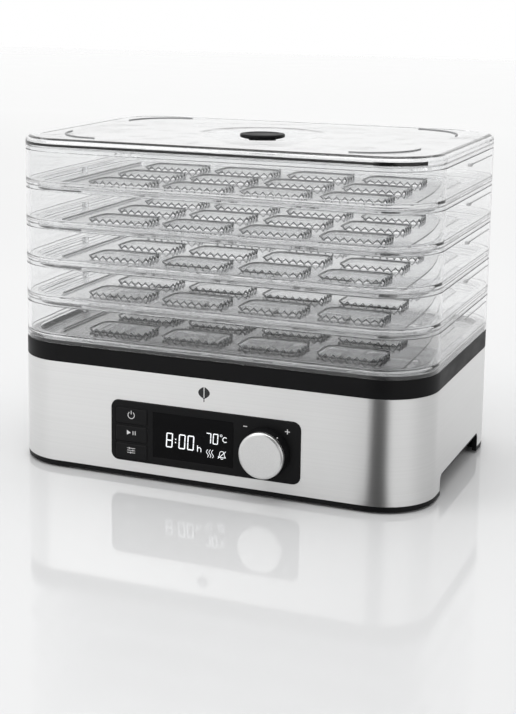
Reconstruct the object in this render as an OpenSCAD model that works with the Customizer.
/* [Overall] */
// Width across the sides
body_w = 325; // [315:5:345]
// Depth of the body, front to back
body_d = 220; // [210:5:235]
// Corner radius in plan
corner_r = 41; // [38:1:44]

/* [Base] */
// Height of the rubber feet
foot_h = 1.7; // [1.2:0.1:2.5]
// Height at which the steel sleeve starts
sleeve_z0 = 5; // [4.5:0.1:5.5]
// Height at which the steel sleeve ends
sleeve_z1 = 82.5; // [81:0.5:85]
// Height of the top edge of the black band
band_z1 = 96.2; // [95:0.2:98]
// Sheet thickness of the steel sleeve
steel_t = 0.8; // [0.6:0.1:0.9]
// Length of the cut-out under each side
arch_w = 113; // [100:1:116]
// Height of the top of that cut-out
arch_z = 17; // [16:0.5:18]

/* [Control panel] */
// Width of the control panel
panel_w = 149.2; // [148:0.2:150]
// Height of the control panel
panel_h = 46; // [45.6:0.2:46.4]
// Height of its middle above the table
panel_z = 36.1; // [36:0.1:36.5]
// Diameter of the knob's face
knob_d = 34; // [30:0.5:35]
// How far the knob's face stands in front of the panel
knob_out = 11.6; // [11:0.2:13]
// Travel of each button
button_travel = 0.8; // [0.4:0.1:0.8]

/* [Fan and heater] */
// Radius swept by the fan blades
fan_r = 56; // [50:1:57]
// Number of fan blades
fan_blades = 7; // [5:1:9]
// Radius of the heating element's ring
element_r = 45; // [42:1:46]

/* [Trays] */
// Number of trays is five; this is the height of one
tray_h = 28.8; // [28:0.1:31]
// Wall thickness of a tray
tray_wall = 2.6; // [2.4:0.1:3]
// Columns and rows of raised drying fields
field_cols = 4; // [3:1:4]
field_rows = 3; // [2:1:3]
// Pitch of the zigzag under the front and back edges of a field
zigzag_pitch = 6; // [5.5:0.5:7]
// Height of the zigzag
zigzag_h = 3.2; // [2.8:0.1:3.6]

/* [Lid] */
// Height of the lid above the top tray
lid_h = 9.8; // [9.5:0.1:12]
// Radius of the round dish in the lid
dish_r = 51; // [48:1:54]
// Diameter of the lid's knob
lid_knob_d = 34.5; // [32:0.5:36]

/* [Hidden] */
$fn = 96;
eps = 0.01;

// How far the cord gland's flange stands behind the body
gland_out = 1.5;
// The panel stands this far in front of the steel
panel_out = 1;
// The origin is under the middle of the whole footprint, knob and gland included,
// so the body itself sits a little behind it
body_y = (panel_out + knob_out - gland_out) / 2;

// Insets of the nested walls, measured in from the outline
housing_out = steel_t + 0.2;
housing_in = housing_out + 2.6;
trim = 1.2;

// Self-tapping screw: shank, its pilot hole, its clearance hole and its head
shank_r = 1.45;
pilot_r = 1.5;
clear_r = 1.8;
head_r = 2.9;
head_h = 2.2;
// Small board screw
small_r = 1.15;
small_pilot_r = 1.2;
small_head_r = 2.3;

// Middle of each plan corner's arc
arc_x = body_w / 2 - corner_r;
arc_y = body_d / 2 - corner_r;
// Corner posts of the housing stand on the corner's diagonal
post_r = 4.5;
post_off = (corner_r - housing_in - post_r + 1) * cos(45);
cover_z0 = 10;
cover_t = 2.4;
cover_z1 = cover_z0 + cover_t;
board_z = cover_z1 + 11;
sole_t = 2.5;
well_r = 5.5;

// Tabs that hold the bezel
tab_x = body_w / 2 - 62.5;
tab_y = body_d / 2 - housing_in - 5;
tab_z = 74;
tab_t = 3;
deck_z0 = 88;
deck_t = 3;
deck_z1 = deck_z0 + deck_t;
deck_hole_r = 62;
lip_out = 1.5;
lip_in = tray_wall;
lip_h = 2.6;

// Air duct under the deck
duct_ri = 63;
duct_ro = 65.4;
duct_z0 = 48;
lug_r = 59;
lug_z0 = 50;
bracket_z = 54;
bracket_t = 1.5;
ear_r = 71;
ear_z = 77.8;
ear_t = 2;
motor_r = 21;
motor_z0 = 28;
shaft_r = 2;
fan_z = 78;
blade_chord = 24;
blade_tilt = 32;
hub_r = 12;
frame_z = 60;
frame_t = 1.5;
tube_r = 3.2;
element_z = frame_z + frame_t + tube_r + 0.1;
element_gap = 32;
element_turn = 225;
standoff_r = 50;

// Control panel, in the plane of the body's front face
front_y = -body_d / 2 - panel_out;
panel_t = 2.4;
panel_back = front_y + panel_t;
skirt_back = -body_d / 2 + 11;
board_y = skirt_back + 0.6;
board_t = 1.6;
window_w = 64;
window_h = 34.4;
window_x = -8.3;
button_x = -57.8;
button_w = 26.2;
button_h = 12.2;
button_pitch = 13.6;
button_z0 = panel_z - 1.9 - button_pitch;
knob_x = 48.8;
knob_z = panel_z - 1.6;
fascia_posts = [[-38, -20.5], [28, -20.5], [-38, 19.9], [28, 19.9]];
ear_x = 79.5;

// Trays: the rabbet that the lip below enters, then the border and the floor sunk inside it
rabbet_h = 3;
rabbet_in = lip_out - 0.3;
floor_z = -1.2;
floor_t = 1.4;
border_z = 4.8;
border_t = 1.4;
border_in = 10;
field_w = 50;
field_d = 34;
field_r = 8;
field_px = 62;
field_py = 50;
sheet_t = 1;
bar_t = 0.9;

// Lid
lid_z0 = band_z1 + 5 * tray_h;
lid_z1 = lid_z0 + lid_h;
lid_t = 2.2;
shoulder = 5.8;
dish_floor_r = 24;
dish_depth = 6.5;
rib_h = 0.8;

// ---- helpers ------------------------------------------------------------

// Everything is drawn about the body's own middle, then moved to the origin
module placed() translate([0, body_y, 0]) children();

// Rounded rectangle with true arcs at its corners
module rounded2d(w, d, r) {
    square([w - 2 * r, d], center = true);
    square([w, d - 2 * r], center = true);
    for (x = [-1, 1], y = [-1, 1])
        translate([x * (w / 2 - r), y * (d / 2 - r)])
            circle(r = r);
}

// The body's outline, drawn in by an inset
module outline2d(inset)
    rounded2d(body_w - 2 * inset, body_d - 2 * inset, corner_r - inset);

// A flat plate of that outline
module plate(inset, z0, z1)
    translate([0, 0, z0])
        linear_extrude(z1 - z0)
            outline2d(inset);

// A wall that follows the outline between two insets
module wall(outer, inner, z0, z1)
    translate([0, 0, z0])
        linear_extrude(z1 - z0)
            difference() {
                outline2d(outer);
                outline2d(inner);
            }

// A tube or ring about Z
module ring(ro, ri, z0, z1)
    translate([0, 0, z0])
        linear_extrude(z1 - z0)
            difference() {
                circle(r = ro);
                circle(r = ri);
            }

// A plain rod along Z
module rod(r, z0, z1)
    translate([0, 0, z0])
        cylinder(r = r, h = z1 - z0);

// A box from its low corner to its high corner
module block(lo, hi)
    translate(lo)
        cube(hi - lo);

// The four signs of a symmetric pattern
module four(x, y)
    for (sx = [-1, 1], sy = [-1, 1])
        translate([sx * x, sy * y, 0])
            children();

// The four corner posts and everything in line with them
module at_posts() four(arc_x + post_off, arc_y + post_off) children();

// The four places round the duct where its ears are
module at_ears()
    for (a = [45, 135, 225, 315])
        rotate(a)
            translate([ear_r, 0, 0])
                children();

// The four arms of the motor bracket and the heater frame
module at_arms()
    for (a = [0, 90, 180, 270])
        rotate(a)
            children();

// A 2-D shape drawn in X and Z, extruded from one y towards the back
module facing(y0, y1)
    translate([0, y1, 0])
        rotate([90, 0, 0])
            linear_extrude(y1 - y0)
                children();

// A rod along Y
module rod_y(r, x, z, y0, y1)
    translate([x, y1, z])
        rotate([90, 0, 0])
            cylinder(r = r, h = y1 - y0);

// A screw about Z, head at the bottom, shank upwards
module screw_up(head_z, length) {
    rod(head_r, head_z - head_h, head_z);
    rod(shank_r, head_z - eps, head_z + length);
}

// ---- base ---------------------------------------------------------------

// Cut-out under the two sides, with rounded upper corners
module arch_cut(grow) {
    w = arch_w + 2 * grow;
    top = arch_z - trim + grow;
    r = 4 + grow;
    for (side = [-1, 1])
        translate([side * body_w / 2 - 10, 0, 0])
            rotate([90, 0, 90])
                linear_extrude(20) {
                    translate([-w / 2, -1])
                        square([w, top - r + 1]);
                    translate([-w / 2 + r, 0])
                        square([w - 2 * r, top]);
                    for (x = [-1, 1])
                        translate([x * (w / 2 - r), top - r])
                            circle(r = r);
                }
}

// Opening in the front wall for the control panel
module panel_cut(gap, depth)
    facing(-body_d / 2 - 1, -body_d / 2 + depth)
        translate([0, panel_z])
            rounded2d(panel_w + 2 * gap, panel_h + 2 * gap, 6 + gap);

module housing_walls() {
    // Inner tub behind the steel
    wall(housing_out, housing_in, foot_h, sleeve_z1 - 0.2);
    // Black plinth below the steel, flush with it
    wall(0.1, housing_out + 0.5, foot_h, sleeve_z0 - 0.05);
    // Edge trim round the two side cut-outs
    intersection() {
        wall(0.1, housing_out + 0.5, foot_h, arch_z);
        arch_cut(trim);
    }
    // Soles over the four feet
    intersection() {
        plate(housing_out + 0.5, foot_h, foot_h + sole_t);
        four(body_w / 2 - 24, body_d / 2 - 19)
            translate([-26, -22, 0])
                cube([52, 44, 10]);
    }
    // Corner posts
    at_posts() rod(post_r, cover_z1, 40);
}

module base_housing() {
    color("#1c1c1e")
        placed() {
            difference() {
                housing_walls();
                arch_cut(0);
                panel_cut(0.7, 20);
                at_posts() {
                    rod(pilot_r, cover_z1 - 1, cover_z1 + 14);
                    rod(well_r, 0, foot_h + sole_t + 1);
                }
                rod_y(6.2, -110, 26, body_d / 2 - 10, body_d / 2 + 5);
            }
            // Tabs for the bezel's screws
            difference() {
                four(tab_x, tab_y)
                    translate([-7, -5.5, tab_z])
                        cube([14, 11, tab_t]);
                four(tab_x, tab_y) rod(clear_r, tab_z - 1, tab_z + tab_t + 1);
            }
            // Blocks for the fascia's ears
            for (s = [-1, 1])
                difference() {
                    block([s * 80.3 - 3.7, -body_d / 2 + housing_in - 0.2, panel_z - 10],
                          [s * 80.3 + 3.7, skirt_back - 2, panel_z + 10]);
                    for (z = [-6, 6])
                        rod_y(pilot_r, s * ear_x, panel_z + z, -body_d / 2 + 4.2, skirt_back);
                }
        }
}

module steel_sleeve() {
    color("#c9cbcd")
        placed()
            difference() {
                wall(0, steel_t, sleeve_z0, sleeve_z1);
                arch_cut(trim + 0.05);
                panel_cut(0.2, 5);
                rod_y(6.2, -110, 26, body_d / 2 - 5, body_d / 2 + 5);
            }
}

module top_bezel() {
    color("#1c1c1e")
        placed()
            difference() {
                union() {
                    wall(0, tray_wall, sleeve_z1 + 0.1, band_z1);
                    wall(lip_out, lip_in, band_z1 - 1, band_z1 + lip_h);
                    plate(tray_wall - 0.5, deck_z0, deck_z1);
                    four(tab_x, tab_y) rod(4.2, tab_z + tab_t + 0.1, deck_z0 + 1);
                    at_ears() rod(4, ear_z + ear_t + 0.1, deck_z0 + 1);
                }
                rod(deck_hole_r, deck_z0 - 1, deck_z1 + 1);
                four(tab_x, tab_y) rod(pilot_r, tab_z, tab_z + tab_t + 11);
                at_ears() rod(pilot_r, ear_z, ear_z + ear_t + 8);
            }
}

module bezel_screws() {
    color("silver")
        placed()
            four(tab_x, tab_y)
                screw_up(tab_z, 12);
}

module bottom_cover() {
    pocket_x = body_w / 2 - 36;
    pocket_y = arch_w / 2 + 4;
    roof_z = arch_z - trim + 0.4;
    color("#232325")
        placed()
            difference() {
                union() {
                    plate(housing_in + 0.4, cover_z0, cover_z1);
                    intersection() {
                        plate(housing_in + 0.4, cover_z0, roof_z + cover_t);
                        for (s = [-1, 1])
                            translate([s * (pocket_x + 25), 0, roof_z / 2 + 5])
                                cube([50 + 2 * cover_t, 2 * (pocket_y + cover_t), 40],
                                     center = true);
                    }
                    for (y = [-42, 42])
                        translate([-118, y, 0]) rod(3.2, cover_z1 - 1, board_z);
                }
                // Air pocket behind each side cut-out
                for (s = [-1, 1])
                    translate([s * (pocket_x + 25), 0, roof_z - 20])
                        cube([50, 2 * pocket_y, 40], center = true);
                // Air slots under the fan
                for (y = [-48:8:48])
                    translate([-45, y - 2, cover_z0 - 1])
                        cube([90, 4, cover_t + 2]);
                at_posts() rod(clear_r, cover_z0 - 1, cover_z1 + 1);
                for (y = [-42, 42])
                    translate([-118, y, 0]) rod(small_pilot_r, cover_z1 + 2, board_z + 1);
            }
}

module cover_screws() {
    color("silver")
        placed()
            at_posts()
                screw_up(cover_z0, 14);
}

// Four corner pads, each with a plug that closes the screw well above it
module rubber_feet() {
    color("#141414")
        placed() {
            intersection() {
                plate(3, 0, foot_h);
                four(body_w / 2 - 24, body_d / 2 - 19)
                    translate([-26, -20, 0])
                        cube([52, 40, foot_h]);
            }
            at_posts() rod(well_r - 0.1, foot_h - eps, foot_h + sole_t - 0.5);
        }
}

// Flanged ring that lines the cord hole; the cord itself isn't part of the model
module cord_gland() {
    gland_x = -110;
    gland_z = 26;
    back = body_d / 2;
    color("#161616")
        placed()
            difference() {
                union() {
                    rod_y(8.5, gland_x, gland_z, back, back + gland_out);
                    rod_y(6.1, gland_x, gland_z, back - 5, back + 1);
                    rod_y(8, gland_x, gland_z, back - housing_in - 2, back - housing_in);
                }
                rod_y(3.6, gland_x, gland_z, back - 10, back + 5);
            }
}

// ---- fan and heater -----------------------------------------------------

module fan_grille() {
    color("#202022")
        placed() {
            translate([0, 0, deck_z1])
                linear_extrude(2.4) {
                    for (r = [15, 24, 33, 42, 51])
                        difference() {
                            circle(r = r + 1);
                            circle(r = r - 1);
                        }
                    circle(r = 9);
                    difference() {
                        circle(r = 66);
                        circle(r = 59.6);
                    }
                    for (a = [0:30:150])
                        rotate(a)
                            square([122, 2.2], center = true);
                }
            // Spigot that centres it in the deck
            ring(deck_hole_r - 0.2, 59.8, deck_z0 + 0.2, deck_z1 + eps);
        }
}

module fan_shroud() {
    color("#2b2b2d")
        placed()
            difference() {
                union() {
                    ring(duct_ro, duct_ri, duct_z0, deck_z0 - 0.2);
                    // Ears for the screws into the deck
                    for (a = [45, 135, 225, 315])
                        rotate(a)
                            translate([duct_ro - 1, -4, ear_z])
                                cube([ear_r + 4 - duct_ro + 1, 8, ear_t]);
                    // Lugs under the motor bracket
                    at_arms()
                        translate([lug_r - 4, -4, lug_z0])
                            cube([duct_ri - lug_r + 5, 8, bracket_z - lug_z0]);
                }
                at_ears() rod(clear_r, ear_z - 1, ear_z + ear_t + 1);
                at_arms() translate([lug_r, 0, 0]) rod(pilot_r, lug_z0 - 1, bracket_z + 1);
            }
}

module shroud_screws() {
    color("silver")
        placed()
            at_ears()
                screw_up(ear_z, 9);
}

module heat_shield() {
    color("#b8bbbd")
        placed()
            ring(duct_ri - 0.4, duct_ri - 1, 56, deck_z0 - 2);
}

// One turn of sheathed element with both ends bent down to its terminals
module heating_element() {
    start = element_turn + element_gap / 2;
    color("#6d6a66")
        placed() {
            translate([0, 0, element_z])
                rotate(start)
                    rotate_extrude(angle = 360 - element_gap)
                        translate([element_r, 0])
                            circle(r = tube_r, $fn = 48);
            for (s = [-1, 1])
                rotate(element_turn + s * element_gap / 2)
                    translate([element_r, 0, 0]) {
                        rod(tube_r, 46, element_z + 0.5);
                        rod(1.5, 38, 47);
                    }
        }
}

module heater_frame() {
    color("#b7a98a")
        placed()
            translate([0, 0, frame_z])
                linear_extrude(frame_t) {
                    difference() {
                        circle(r = 61.5);
                        circle(r = 56);
                    }
                    difference() {
                        circle(r = 34);
                        circle(r = 28);
                    }
                    for (a = [0, 90, 180, 270])
                        rotate(a)
                            translate([30, -5])
                                square([28, 10]);
                }
}

module heater_standoffs() {
    color("#a9abad")
        placed()
            at_arms()
                translate([standoff_r, 0, 0])
                    ring(3, 1.5, bracket_z + bracket_t, frame_z);
}

// Saddles that hold the element down on the frame's arms
module element_clips() {
    color("#9c9ea0")
        placed()
            at_arms()
                difference() {
                    translate([element_r - 5.5, -4, frame_z + frame_t])
                        cube([11, 8, 2 * tube_r + 1.6]);
                    translate([element_r, 0, element_z])
                        rotate([90, 0, 0])
                            cylinder(r = tube_r + 0.4, h = 20, center = true);
                    translate([element_r - tube_r - 0.4, -5, frame_z])
                        cube([2 * tube_r + 0.8, 10, element_z - frame_z]);
                }
}

module thermal_fuse() {
    color("#d8d2c4")
        placed()
            rotate(20)
                translate([duct_ro + 3.4, 0, 60])
                    rotate([90, 0, 0]) {
                        cylinder(r = 3, h = 12, center = true);
                        cylinder(r = 0.6, h = 26, center = true, $fn = 24);
                    }
}

module temperature_sensor() {
    color("#3a3a3a")
        placed()
            rotate(15)
                translate([duct_ro + 8, 0, 0]) {
                    rod(2.4, deck_z0 - 9, deck_z0);
                    rod(0.7, deck_z0 - 22, deck_z0 - 8);
                }
}

module fan_motor() {
    color("#8b8d90")
        placed()
            difference() {
                union() {
                    rod(motor_r, motor_z0, bracket_z);
                    rod(6, bracket_z - 1, bracket_z + bracket_t + 2);
                    ring(motor_r + 1.2, motor_r - 1, motor_z0 + 9, motor_z0 + 12);
                }
                rod(shaft_r + 0.05, motor_z0 + 1, 70);
                for (x = [-14, 14])
                    translate([x, 0, 0])
                        rod(pilot_r, bracket_z - 6, bracket_z + 1);
            }
}

module motor_bracket() {
    color("#a9abad")
        placed()
            translate([0, 0, bracket_z])
                linear_extrude(bracket_t)
                    difference() {
                        union() {
                            circle(r = 24);
                            for (a = [0, 90])
                                rotate(a)
                                    square([2 * (duct_ri - 1), 9], center = true);
                        }
                        circle(r = 7);
                        for (x = [-14, 14])
                            translate([x, 0]) circle(r = clear_r);
                        for (a = [0, 90, 180, 270])
                            rotate(a)
                                translate([lug_r, 0]) circle(r = clear_r);
                    }
}

module motor_screws() {
    top = bracket_z + bracket_t;
    color("silver")
        placed() {
            for (x = [-14, 14])
                translate([x, 0, 0]) {
                    rod(head_r, top, top + head_h);
                    rod(shank_r, bracket_z - 5, top + eps);
                }
            at_arms()
                translate([lug_r, 0, 0]) {
                    rod(2.6, top, top + head_h);
                    rod(shank_r, lug_z0 + 0.5, top + eps);
                }
        }
}

module motor_shaft() {
    color("#c4c6c8")
        placed()
            rod(shaft_r, motor_z0 + 1.5, fan_z + 8.5);
}

module fan_impeller() {
    color("#3c3d40")
        placed()
            difference() {
                union() {
                    rod(hub_r, fan_z - 6, fan_z + 5.5);
                    for (i = [0:fan_blades - 1])
                        rotate(i * 360 / fan_blades)
                            translate([hub_r - 1, 0, fan_z])
                                rotate([blade_tilt, 0, 0])
                                    translate([0, -blade_chord / 2, -0.8])
                                        cube([fan_r - hub_r, blade_chord, 1.6]);
                }
                rod(shaft_r + 0.02, fan_z - 20, fan_z + 20);
            }
}

module fan_nut() {
    color("silver")
        placed()
            difference() {
                translate([0, 0, fan_z + 5.5])
                    cylinder(r = 4, h = 2.6, $fn = 6);
                rod(shaft_r + 0.02, fan_z, fan_z + 20);
            }
}

// ---- power electronics --------------------------------------------------

module power_board() {
    color("#2f6b45")
        placed()
            difference() {
                block([-150, -52, board_z], [-86, 52, board_z + board_t]);
                for (y = [-42, 42])
                    translate([-118, y, 0])
                        rod(1.4, board_z - 1, board_z + 3);
            }
}

module power_relay() {
    color("#2b3e63")
        placed()
            block([-146, -34, board_z + board_t], [-131, -14, board_z + board_t + 16]);
}

module filter_capacitor() {
    color("#c9a12f")
        placed() {
            block([-146, 2, board_z + board_t], [-132, 20, board_z + board_t + 14]);
            translate([-104, -30, 0]) rod(6, board_z + board_t, board_z + board_t + 18);
        }
}

module transformer() {
    z = board_z + board_t;
    color("#4b4c50")
        placed() {
            block([-124, -14, z], [-96, 14, z + 5]);
            block([-120, -10, z + 5], [-100, 10, z + 19]);
            block([-124, -14, z + 19], [-96, 14, z + 24]);
        }
}

module terminal_block() {
    z = board_z + board_t;
    color("#2d6f5a")
        placed()
            difference() {
                block([-146, 28, z], [-122, 40, z + 11]);
                for (x = [-142, -134, -126])
                    rod_y(1.6, x, z + 4, 20, 45);
            }
}

module board_screws() {
    color("silver")
        placed() {
            for (y = [-42, 42])
                translate([-118, y, board_z + board_t]) {
                    rod(small_r, -8, eps);
                    rod(small_head_r, 0, 1.6);
                }
            for (p = fascia_posts) {
                x = p[0];
                z = panel_z + p[1];
                rod_y(small_r, x, z, board_y - 6.5, board_y + board_t + eps);
                rod_y(small_head_r, x, z, board_y + board_t, board_y + board_t + 1.6);
            }
        }
}

// ---- control panel ------------------------------------------------------

module button_openings2d(grow)
    for (i = [0:2])
        translate([button_x, button_z0 + i * button_pitch])
            square([button_w + 2 * grow, button_h + 2 * grow], center = true);

module control_fascia() {
    color("#202022")
        placed()
            difference() {
                union() {
                    // Front plate and the skirt behind it
                    facing(front_y, panel_back)
                        translate([0, panel_z])
                            rounded2d(panel_w, panel_h, 6);
                    facing(panel_back - eps, skirt_back)
                        translate([0, panel_z])
                            difference() {
                                rounded2d(panel_w, panel_h, 6);
                                rounded2d(panel_w - 1.6, panel_h - 1.6, 5.2);
                            }
                    // Ears screwed to the housing
                    for (s = [-1, 1])
                        block([s * 79 - 5.2, skirt_back - 2, panel_z - 10],
                              [s * 79 + 5.2, skirt_back, panel_z + 10]);
                    // Posts for the control board
                    for (p = fascia_posts)
                        rod_y(2.4, p[0], panel_z + p[1], panel_back - eps, board_y);
                }
                // Lens seat and the smaller opening behind it
                facing(front_y - 1, front_y + 1.6)
                    translate([window_x, panel_z])
                        square([window_w + 0.2, window_h + 0.2], center = true);
                facing(front_y, panel_back + 1)
                    translate([window_x, panel_z])
                        square([window_w - 4, window_h - 4], center = true);
                facing(front_y - 1, panel_back + 1) button_openings2d(0);
                rod_y(4.6, knob_x, knob_z, front_y - 1, panel_back + 1);
                for (p = fascia_posts)
                    rod_y(small_pilot_r, p[0], panel_z + p[1], board_y - 7, board_y + 1);
                for (s = [-1, 1], z = [-6, 6])
                    rod_y(clear_r, s * ear_x, panel_z + z, skirt_back - 3, skirt_back + 1);
            }
}

module fascia_screws() {
    color("silver")
        placed()
            for (s = [-1, 1], z = [-6, 6]) {
                rod_y(shank_r, s * ear_x, panel_z + z, skirt_back - 6, skirt_back + eps);
                rod_y(head_r, s * ear_x, panel_z + z, skirt_back, skirt_back + head_h);
            }
}

module display_lens() {
    color("#0b0b0d", 0.6)
        placed()
            facing(front_y + 0.1, front_y + 1.6)
                translate([window_x, panel_z])
                    square([window_w, window_h], center = true);
}

module display_module() {
    color("#0f1012")
        placed()
            facing(panel_back + 0.2, board_y)
                translate([window_x, panel_z])
                    square([window_w - 6, window_h - 5], center = true);
}

// Seven-segment digit; lit is a list of the segments a to g that glow
module digit2d(w, h, t, lit) {
    m = t * 0.2;
    for (s = lit) {
        if (s == "a") translate([m, h - t]) square([w - 2 * m, t]);
        if (s == "g") translate([t + m, (h - t) / 2]) square([w - 2 * t - 2 * m, t]);
        if (s == "d") translate([m, 0]) square([w - 2 * m, t]);
        if (s == "f") translate([0, h / 2 + m]) square([t, h / 2 - t - 2 * m]);
        if (s == "b") translate([w - t, h / 2 + m]) square([t, h / 2 - t - 2 * m]);
        if (s == "e") translate([0, t + m]) square([t, h / 2 - t - 2 * m]);
        if (s == "c") translate([w - t, t + m]) square([t, h / 2 - t - 2 * m]);
    }
}

seg_zero = ["a", "b", "c", "d", "e", "f"];
seg_seven = ["a", "b", "c"];
seg_eight = ["a", "b", "c", "d", "e", "f", "g"];

// The lit segments: hours on the left, temperature on the right
module display_readout() {
    h = 12.8;
    z = panel_z - 10.2;
    color("white")
        placed()
            facing(panel_back - 0.1, panel_back + 0.2) {
                translate([-30, z]) digit2d(6.2, h, 1.2, seg_eight);
                for (k = [0.3, 0.62])
                    translate([-21.9, z + h * k]) square([1.2, 1.2]);
                translate([-19.2, z]) digit2d(6.2, h, 1.2, seg_zero);
                translate([-11.6, z]) digit2d(6.2, h, 1.2, seg_zero);
                translate([3, z + 6.2]) digit2d(4.4, 10.2, 1, seg_seven);
                translate([8.6, z + 6.2]) digit2d(4.4, 10.2, 1, seg_zero);
            }
}

module control_board() {
    color("#2f6b45")
        placed()
            difference() {
                facing(board_y, board_y + board_t)
                    translate([0, panel_z])
                        square([144, 45], center = true);
                for (p = fascia_posts)
                    rod_y(1.4, p[0], panel_z + p[1], board_y - 1, board_y + 3);
            }
}

module button_switches() {
    color("#3a3b3e")
        placed()
            for (i = [0:2]) {
                z = button_z0 + i * button_pitch;
                block([button_x - 3, board_y - 3.5, z - 3], [button_x + 3, board_y, z + 3]);
                rod_y(1.7, button_x, z, board_y - 4.6, board_y - 3.5 + eps);
            }
}

module rotary_encoder() {
    color("#7c7f83")
        placed()
            difference() {
                union() {
                    block([knob_x - 6, board_y - 6.6, knob_z - 6],
                          [knob_x + 6, board_y, knob_z + 6]);
                    rod_y(3.5, knob_x, knob_z, front_y + 0.6, board_y - 6);
                }
                rod_y(3.05, knob_x, knob_z, front_y, board_y - 1);
            }
}

module encoder_shaft() {
    color("#c4c6c8")
        placed()
            rod_y(3, knob_x, knob_z, front_y - 5.6, board_y - 1.4);
}

// Tapered black skirt of the knob, bored for the shaft
module knob_body() {
    skirt = knob_out - 4;
    color("#18181a")
        placed()
            translate([knob_x, front_y - 0.4, knob_z])
                rotate([90, 0, 0])
                    difference() {
                        cylinder(r1 = knob_d / 2 + 1.2, r2 = knob_d / 2 + 0.2, h = skirt - 0.4);
                        translate([0, 0, -1]) cylinder(r = 3.02, h = 6.4);
                        translate([0, 0, skirt - 1.8]) cylinder(r = 10, h = 3);
                    }
}

module knob_cap() {
    r = knob_d / 2;
    t = 4;
    edge = 1.2;
    color("#d4d5d6")
        placed()
            translate([knob_x, front_y - knob_out + t, knob_z])
                rotate([90, 0, 0]) {
                    cylinder(r = r, h = t - edge);
                    cylinder(r = r - edge, h = t);
                    rotate_extrude()
                        translate([r - edge, t - edge])
                            intersection() {
                                circle(r = edge);
                                square(edge);
                            }
                    translate([0, 0, -1.2]) cylinder(r = 9.95, h = 2);
                }
}

// Keycap in its opening, a wider flange behind the panel and a stem to the switch
module key(row) {
    z = button_z0 + row * button_pitch;
    color("#242426")
        placed() {
            facing(front_y - 0.4, panel_back + 0.1)
                translate([button_x, z])
                    square([button_w - 0.6, button_h - 0.6], center = true);
            facing(panel_back + 0.1, panel_back + 1.3)
                translate([button_x, z])
                    rounded2d(button_w + 0.8, button_h + 0.4, 2);
            rod_y(2, button_x, z, panel_back + 1, board_y - 4.8 - button_travel);
        }
}

module set_button() key(0);

module start_button() key(1);

module power_button() key(2);

// ---- trays --------------------------------------------------------------

// Zigzag of bars across X that carries one long edge of a field
module zigzag_edge() {
    run = field_w - 2 * field_r + 2;
    n = 2 * round(run / zigzag_pitch);
    step = run / n;
    rise = zigzag_h - bar_t;
    function level(i) = (i % 2) * rise;
    rotate([90, 0, 0])
        linear_extrude(sheet_t + 0.2, center = true)
            polygon(concat(
                [for (i = [0:n]) [i * step - run / 2, level(i)]],
                [for (i = [n:-1:0]) [i * step - run / 2, level(i) + bar_t]]
            ));
}

// Raised drying field: a slatted plate on two zigzag edges and two rounded end walls
module field() {
    base = floor_t - 0.2;
    top = floor_t + zigzag_h - 0.4;
    translate([0, 0, top])
        linear_extrude(sheet_t)
            difference() {
                rounded2d(field_w, field_d, field_r);
                for (x = [-18:4:18])
                    translate([x, 0])
                        square([1.2, field_d - 8], center = true);
            }
    for (s = [-1, 1])
        translate([0, s * (field_d / 2 - 0.7), base])
            zigzag_edge();
    translate([0, 0, base])
        linear_extrude(top - base + 0.1)
            difference() {
                rounded2d(field_w, field_d, field_r);
                rounded2d(field_w - 2 * sheet_t, field_d - 2 * sheet_t, field_r - sheet_t);
                square([field_w - 2 * field_r, field_d + 2], center = true);
            }
}

module at_fields()
    for (c = [0:field_cols - 1], r = [0:field_rows - 1])
        translate([(c - (field_cols - 1) / 2) * field_px, (r - (field_rows - 1) / 2) * field_py, 0])
            children();

// Clear tray: wall, rim lip, rabbet under the wall, border, sunk floor and raised fields
module tray(level) {
    color("#e8eef0", 0.35)
        placed()
            translate([0, 0, band_z1 + (level - 1) * tray_h]) {
                difference() {
                    wall(0, tray_wall, 0, tray_h);
                    wall(rabbet_in, tray_wall + 1, -1, rabbet_h);
                }
                wall(lip_out, lip_in, tray_h - eps, tray_h + lip_h);
                wall(tray_wall - 0.4, border_in, border_z, border_z + border_t);
                wall(border_in - 1.4, border_in, floor_z, border_z + 0.4);
                translate([0, 0, floor_z]) {
                    linear_extrude(floor_t)
                        difference() {
                            outline2d(border_in - 0.4);
                            at_fields()
                                rounded2d(field_w - 2.8, field_d - 2.8, field_r - 1.4);
                        }
                    at_fields() field();
                }
            }
}

module tray_1() tray(1);

module tray_2() tray(2);

module tray_3() tray(3);

module tray_4() tray(4);

module tray_5() tray(5);

// ---- lid ----------------------------------------------------------------

// A rounded slab: the outline swept with a quarter-round upper edge
module shoulder_slab(inset, z0, z1, r) {
    plate(inset, z0, z1 - r);
    plate(inset + r, z0, z1);
    ring_r = corner_r - inset;
    four_arcs(ring_r, z0, z1, r);
    for (s = [-1, 1]) {
        translate([0, s * (body_d / 2 - inset - r), z1 - r])
            rotate([0, 90, 0])
                cylinder(r = r, h = 2 * arc_x, center = true);
        translate([s * (body_w / 2 - inset - r), 0, z1 - r])
            rotate([90, 0, 0])
                cylinder(r = r, h = 2 * arc_y, center = true);
    }
}

module four_arcs(ring_r, z0, z1, r)
    for (i = [0:3])
        translate([(i == 0 || i == 3 ? 1 : -1) * arc_x, (i < 2 ? 1 : -1) * arc_y, z1 - r])
            rotate(i * 90)
                rotate_extrude(angle = 90)
                    translate([ring_r - r, 0])
                        circle(r = r);

// Thin curved rib near each corner of the lid's flat top
module corner_ribs() {
    rib_r = 40;
    for (i = [0:3])
        translate([(i == 0 || i == 3 ? 1 : -1) * 98, (i < 2 ? 1 : -1) * 50, lid_z1 - 0.2])
            rotate(i * 90)
                rotate_extrude(angle = 90)
                    translate([rib_r - 0.8, 0])
                        square([1.6, rib_h + 0.2]);
}

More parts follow.
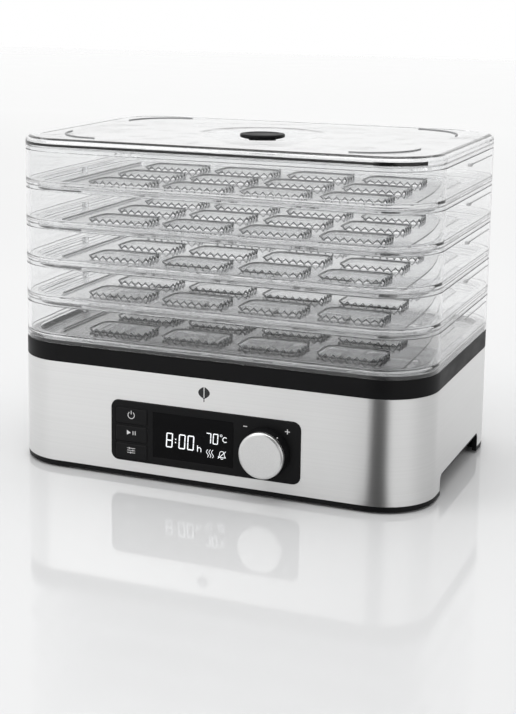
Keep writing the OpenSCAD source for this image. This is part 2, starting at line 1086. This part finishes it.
module lid() {
    dish_z = lid_z1 - dish_depth;
    color("#e8eef0", 0.35)
        placed() {
            difference() {
                shoulder_slab(0, lid_z0, lid_z1, shoulder);
                shoulder_slab(lid_t, lid_z0 - 10, lid_z1 - lid_t, shoulder - 2);
                rod(dish_floor_r, dish_z, lid_z1 + 1);
                translate([0, 0, dish_z])
                    cylinder(r1 = dish_floor_r, r2 = dish_r, h = dish_depth);
                wall(rabbet_in, tray_wall + 1, lid_z0 - 1, lid_z0 + rabbet_h);
            }
            difference() {
                translate([0, 0, dish_z - lid_t])
                    cylinder(r1 = dish_floor_r + 1, r2 = dish_r + 1, h = dish_depth);
                translate([0, 0, dish_z])
                    cylinder(r1 = dish_floor_r, r2 = dish_r, h = dish_depth);
                rod(2.2, dish_z - 10, dish_z + 10);
            }
            corner_ribs();
        }
}

module lid_knob() {
    r = lid_knob_d / 2;
    z = lid_z1 - dish_depth;
    color("#18181a")
        placed()
            difference() {
                union() {
                    rod(10, z, z + 4);
                    rod(r, z + 3, z + 6.2);
                    rod(r - 0.8, z + 3, z + 6.8);
                }
                rod(pilot_r, z - 1, z + 5);
            }
}

module lid_knob_screw() {
    z = lid_z1 - dish_depth - lid_t;
    color("silver")
        placed() {
            rod(shank_r, z - eps, z + 6);
            rod(4, z - 2, z);
        }
}

base_housing();
steel_sleeve();
top_bezel();
fan_grille();
fan_shroud();
heat_shield();
heating_element();
heater_frame();
heater_standoffs();
element_clips();
thermal_fuse();
temperature_sensor();
fan_motor();
motor_bracket();
motor_screws();
motor_shaft();
fan_impeller();
fan_nut();
shroud_screws();
bezel_screws();
bottom_cover();
cover_screws();
rubber_feet();
cord_gland();
power_board();
power_relay();
filter_capacitor();
transformer();
terminal_block();
board_screws();
control_fascia();
fascia_screws();
display_lens();
display_module();
display_readout();
control_board();
button_switches();
rotary_encoder();
encoder_shaft();
knob_body();
knob_cap();
power_button();
start_button();
set_button();
tray_1();
tray_2();
tray_3();
tray_4();
tray_5();
lid();
lid_knob();
lid_knob_screw();
